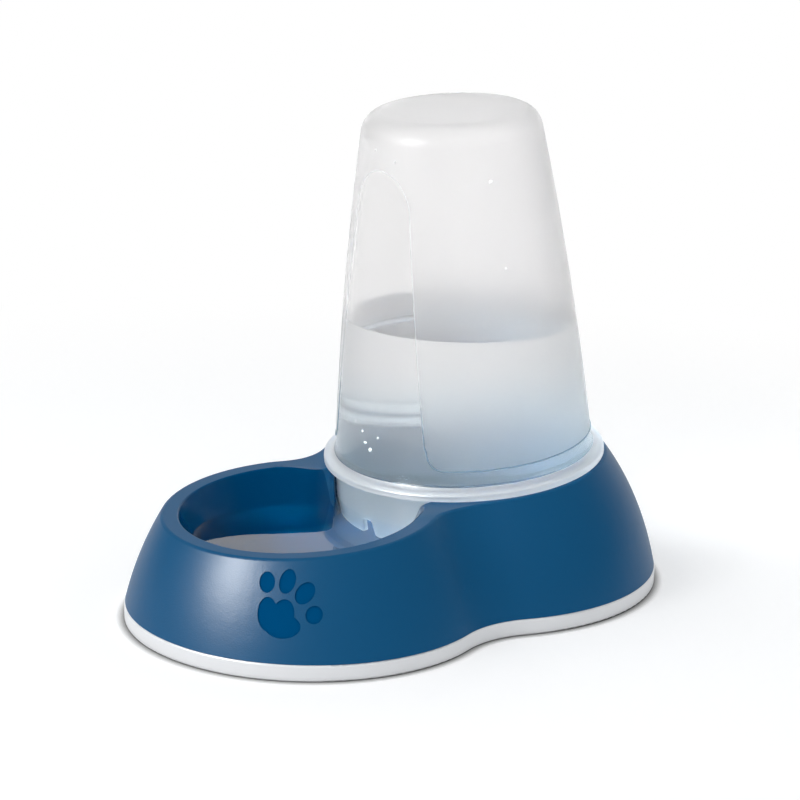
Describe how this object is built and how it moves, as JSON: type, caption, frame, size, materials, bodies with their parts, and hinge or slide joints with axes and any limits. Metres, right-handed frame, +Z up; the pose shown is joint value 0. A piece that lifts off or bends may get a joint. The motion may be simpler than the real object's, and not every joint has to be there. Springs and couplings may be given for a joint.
{
  "type": "gravity pet water dispenser",
  "caption": "Free-standing gravity pet water dispenser: a mouth-down reservoir stands in the socket of a bowl-shaped base with a soft anti-slip foot ring.",
  "frame": {"origin": "on the floor, in the middle of the footprint's bounding box", "axes": "+X across, +Y from the bowl to the reservoir, +Z up"},
  "size_m": [0.1954, 0.29, 0.2416],
  "materials": {
    "base_plastic": "satin outside, glossy inside the bowl",
    "soft_ring": "soft satin",
    "reservoir_plastic": "translucent, frosted above the collar with a clear window on the bowl side"
  },
  "bodies": {
    "base": {"base": "base_plastic", "anti_slip_ring": "soft_ring"},
    "reservoir": {"reservoir": "reservoir_plastic"}
  },
  "joints": [
    {"name": "reservoir_lift", "type": "slide", "parent": "base", "child": "reservoir", "axis": [0, -0.0941, 0.9956], "range_m": [0, 0.1]}
  ]
}
